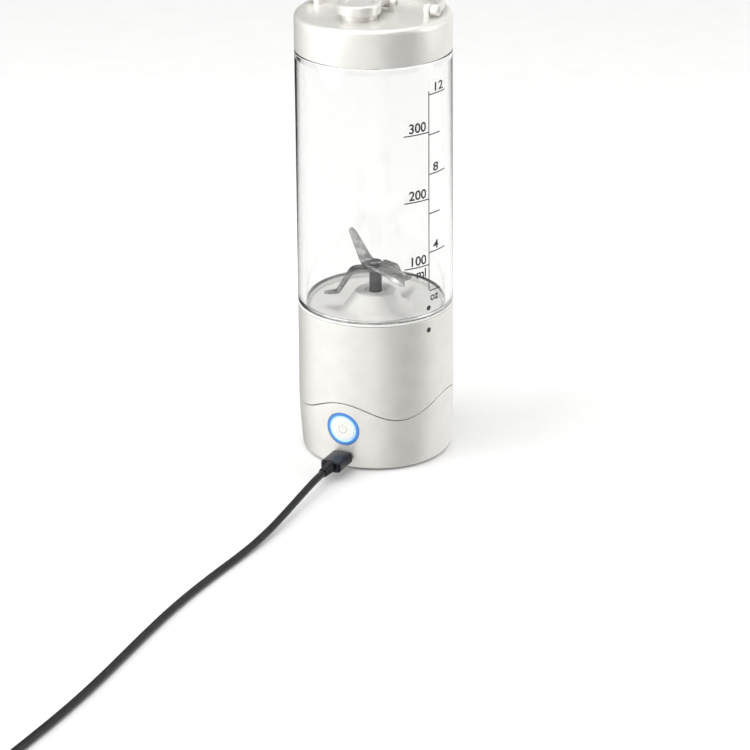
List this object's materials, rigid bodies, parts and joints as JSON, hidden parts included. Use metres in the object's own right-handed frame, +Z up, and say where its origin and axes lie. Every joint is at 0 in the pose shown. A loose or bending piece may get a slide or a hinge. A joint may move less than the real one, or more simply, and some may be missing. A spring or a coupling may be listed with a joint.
{
  "type": "portable blender",
  "caption": "Cordless personal blender with a clear screw-on vessel, steel blades, a lit power button, a flip spout lid with a carry loop, and a charging lead.",
  "frame": {"origin": "on the floor, under the centre of the base", "axes": "+Z up along the vessel's axis; -Y to the front, where the power button and the charging port are; +X to the right as seen from behind the object looking to the front is -X, so +X is on the right of a viewer who faces the front"},
  "size_m": [0.132, 0.4356, 0.2316],
  "materials": {
    "pearl_plastic": "glossy pearl white",
    "clear_plastic": "clear, polished",
    "steel": "brushed stainless",
    "bronze": "plain sintered",
    "rubber": "matte black",
    "silicone": "translucent, satin",
    "black_plastic": "satin black",
    "light_guide": "blue, lit from behind",
    "circuit_board": "satin green",
    "cell_wrap": "shrink film",
    "magnet": "plain ferrite",
    "copper": "enamelled winding"
  },
  "bodies": {
    "base": {"upper_housing": "pearl_plastic", "lower_housing": "pearl_plastic", "bottom_plate": "pearl_plastic", "bottom_screw_1": "steel", "bottom_screw_2": "steel", "bottom_screw_3": "steel", "foot_ring": "rubber", "light_ring": "light_guide", "control_board": "circuit_board", "button_switch": "black_plastic", "charging_socket": "steel", "charging_board": "circuit_board", "battery_tray": "black_plastic", "battery_cell_1": "cell_wrap", "battery_cell_2": "cell_wrap", "inner_sleeve": "black_plastic", "motor_deck": "black_plastic", "motor_can": "steel", "motor_end_cap": "black_plastic", "motor_magnet_left": "magnet", "motor_magnet_right": "magnet", "motor_screw_front": "steel", "motor_screw_back": "steel", "blade_platform": "pearl_plastic", "lower_bearing": "bronze", "upper_bearing": "bronze", "shaft_seal": "rubber"},
    "button": {"power_button": "pearl_plastic"},
    "drive": {"motor_rotor": "copper", "drive_coupling": "steel", "blade_shaft": "steel", "lower_blade": "steel", "upper_blade": "steel", "blade_rivet": "steel"},
    "vessel_seal": {"vessel_gasket": "silicone"},
    "vessel": {"vessel": "clear_plastic"},
    "lid_seal": {"lid_gasket": "silicone"},
    "lid": {"lid": "pearl_plastic", "gasket_retainer": "pearl_plastic", "flip_pin": "steel", "loop_pin_left": "steel", "loop_pin_right": "steel"},
    "flip_cap": {"spout_cap": "pearl_plastic", "spout_stopper": "silicone"},
    "loop": {"carry_loop": "pearl_plastic"},
    "lead": {"usb_c_shell": "steel", "usb_c_plug": "black_plastic", "usb_c_relief": "black_plastic", "charging_cord": "black_plastic", "cord_coil": "black_plastic", "cord_end": "black_plastic", "usb_a_relief": "black_plastic", "usb_a_plug": "black_plastic", "usb_a_shell": "steel"}
  },
  "joints": [
    {"name": "button_press", "type": "slide", "parent": "base", "child": "button", "axis": [0, 1, 0], "range_m": [0, 0.0008], "stiffness_N_per_m": 900},
    {"name": "blade_spin", "type": "hinge", "parent": "base", "child": "drive", "pos_m": [0, 0, 0.06], "axis": [0, 0, 1], "continuous": true},
    {"name": "vessel_lift", "type": "slide", "parent": "base", "child": "vessel_seal", "axis": [0, 0, 1], "range_m": [0, 0.12]},
    {"name": "vessel_twist", "type": "hinge", "parent": "vessel_seal", "child": "vessel", "pos_m": [0, 0, 0.0766], "axis": [0, 0, 1], "range_deg": [0, 75]},
    {"name": "lid_lift", "type": "slide", "parent": "vessel", "child": "lid_seal", "axis": [0, 0, 1], "range_m": [0, 0.06]},
    {"name": "lid_twist", "type": "hinge", "parent": "lid_seal", "child": "lid", "pos_m": [0, 0, 0.2055], "axis": [0, 0, 1], "range_deg": [0, 75]},
    {"name": "cap_flip", "type": "hinge", "parent": "lid", "child": "flip_cap", "pos_m": [0, 0.002, 0.2278], "axis": [-1, 0, 0], "range_deg": [0, 140]},
    {"name": "loop_swing", "type": "hinge", "parent": "lid", "child": "loop", "pos_m": [0, 0, 0.2276], "axis": [1, 0, 0], "range_deg": [0, 180]},
    {"name": "lead_unplug", "type": "slide", "parent": "base", "child": "lead", "axis": [0, -1, 0], "range_m": [0, 0.012]}
  ]
}
